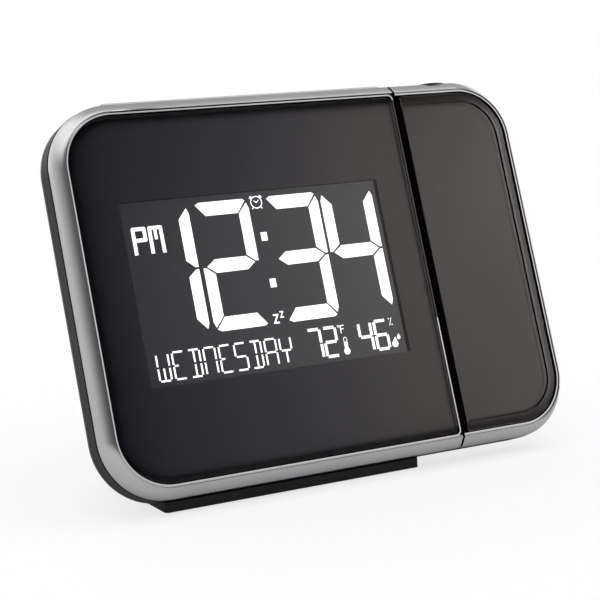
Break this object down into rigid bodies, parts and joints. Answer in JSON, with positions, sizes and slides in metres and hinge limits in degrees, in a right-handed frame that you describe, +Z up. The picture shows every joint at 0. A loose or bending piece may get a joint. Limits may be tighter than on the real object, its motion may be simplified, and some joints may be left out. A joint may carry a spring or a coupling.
{
  "type": "projection alarm clock",
  "caption": "Leaning bedside alarm clock with a rounded smoked face, silver rim, flat foot, and a side arm that turns to project the time.",
  "frame": {"origin": "on the resting plane, at the middle of the clock's bounding box in plan", "axes": "+X to the right of the face, +Y from the face to the back, +Z up; the face leans back 18 degrees"},
  "size_m": [0.1282, 0.0438, 0.0942],
  "materials": {
    "bezel": "satin silver paint",
    "lens": "smoked clear acrylic",
    "housing": "fine satin moulded black",
    "black_print": "matte black print",
    "display": "dark negative display glass",
    "backlight": "white light guide",
    "board": "green solder mask",
    "component": "moulded black parts",
    "white_part": "white sensor and connector plastic",
    "steel": "zinc-plated steel",
    "bush": "turned brass",
    "cell_wrap": "plain dark battery wrap",
    "pad": "matte black rubber",
    "ring": "gloss black",
    "optic": "clear optical plastic",
    "lamp": "red-tinted lamp"
  },
  "bodies": {
    "clock": {"main_bezel": "bezel", "main_lens": "lens", "lens_mask": "black_print", "display_shroud": "black_print", "lcd_glass": "display", "backlight_panel": "backlight", "lcd_connector": "white_part", "front_frame": "housing", "main_board": "board", "board_screws": "steel", "tact_switches": "component", "controller_chip": "component", "buzzer": "component", "climate_sensor": "white_part", "slide_switch_body": "component", "dc_jack": "component", "rear_cover": "housing", "cover_screws": "steel", "battery_upper": "cell_wrap", "battery_lower": "cell_wrap", "battery_springs": "steel", "battery_contacts": "steel", "stand_foot": "housing", "foot_pads": "pad", "foot_screws": "steel", "pivot_bush": "bush"},
    "arm": {"arm_bezel": "bezel", "arm_lens": "lens", "arm_mask": "black_print", "arm_frame": "housing", "arm_rear_cover": "housing", "arm_screws": "steel", "pivot_shaft": "steel", "retaining_clip": "steel", "friction_washer": "steel", "projector_lead": "pad", "projector_ring": "ring", "lens_barrel": "black_print", "condenser_lens": "optic", "time_slide": "display", "projection_led": "lamp", "arm_board": "board"},
    "focus": {"focus_knob": "housing"},
    "cell": {"lens_cell": "black_print", "projection_lens": "optic"},
    "snooze": {"snooze_bar": "bezel"},
    "switch": {"alarm_switch_knob": "housing"},
    "door": {"battery_door": "housing"},
    "button_time": {"button_time": "housing"},
    "button_alarm": {"button_alarm": "housing"},
    "button_plus": {"button_plus": "housing"},
    "button_minus": {"button_minus": "housing"},
    "button_light": {"button_light": "housing"}
  },
  "joints": [
    {"name": "arm_turn", "type": "hinge", "parent": "clock", "child": "arm", "pos_m": [0, -0.00201, 0.04794], "axis": [1, 0, 0], "range_deg": [-90, 90]},
    {"name": "focus_turn", "type": "hinge", "parent": "arm", "child": "focus", "pos_m": [0.0434, 0.01382, 0.07854], "axis": [0, -0.9511, 0.309], "range_deg": [-50, 50]},
    {"name": "lens_slide", "type": "slide", "parent": "arm", "child": "cell", "axis": [0, 0.309, 0.9511], "range_m": [-0.00115, 0.00115]},
    {"name": "snooze_press", "type": "slide", "parent": "clock", "child": "snooze", "axis": [0, -0.309, -0.9511], "range_m": [0, 0.0008], "stiffness_N_per_m": 400, "springref_m": -0.0005},
    {"name": "alarm_switch", "type": "slide", "parent": "clock", "child": "switch", "axis": [1, 0, 0], "range_m": [0, 0.003]},
    {"name": "door_lift", "type": "slide", "parent": "clock", "child": "door", "axis": [0, 0.9511, -0.309], "range_m": [0, 0.012]},
    {"name": "button_time_press", "type": "slide", "parent": "clock", "child": "button_time", "axis": [0, -0.9511, 0.309], "range_m": [0, 0.0006], "stiffness_N_per_m": 300, "springref_m": -0.0004},
    {"name": "button_alarm_press", "type": "slide", "parent": "clock", "child": "button_alarm", "axis": [0, -0.9511, 0.309], "range_m": [0, 0.0006], "stiffness_N_per_m": 300, "springref_m": -0.0004},
    {"name": "button_plus_press", "type": "slide", "parent": "clock", "child": "button_plus", "axis": [0, -0.9511, 0.309], "range_m": [0, 0.0006], "stiffness_N_per_m": 300, "springref_m": -0.0004},
    {"name": "button_minus_press", "type": "slide", "parent": "clock", "child": "button_minus", "axis": [0, -0.9511, 0.309], "range_m": [0, 0.0006], "stiffness_N_per_m": 300, "springref_m": -0.0004},
    {"name": "button_light_press", "type": "slide", "parent": "clock", "child": "button_light", "axis": [0, -0.9511, 0.309], "range_m": [0, 0.0006], "stiffness_N_per_m": 300, "springref_m": -0.0004}
  ],
  "couplings": [
    {"joint": "focus_turn", "follows": "lens_slide", "rad_per_m": 759.46}
  ]
}
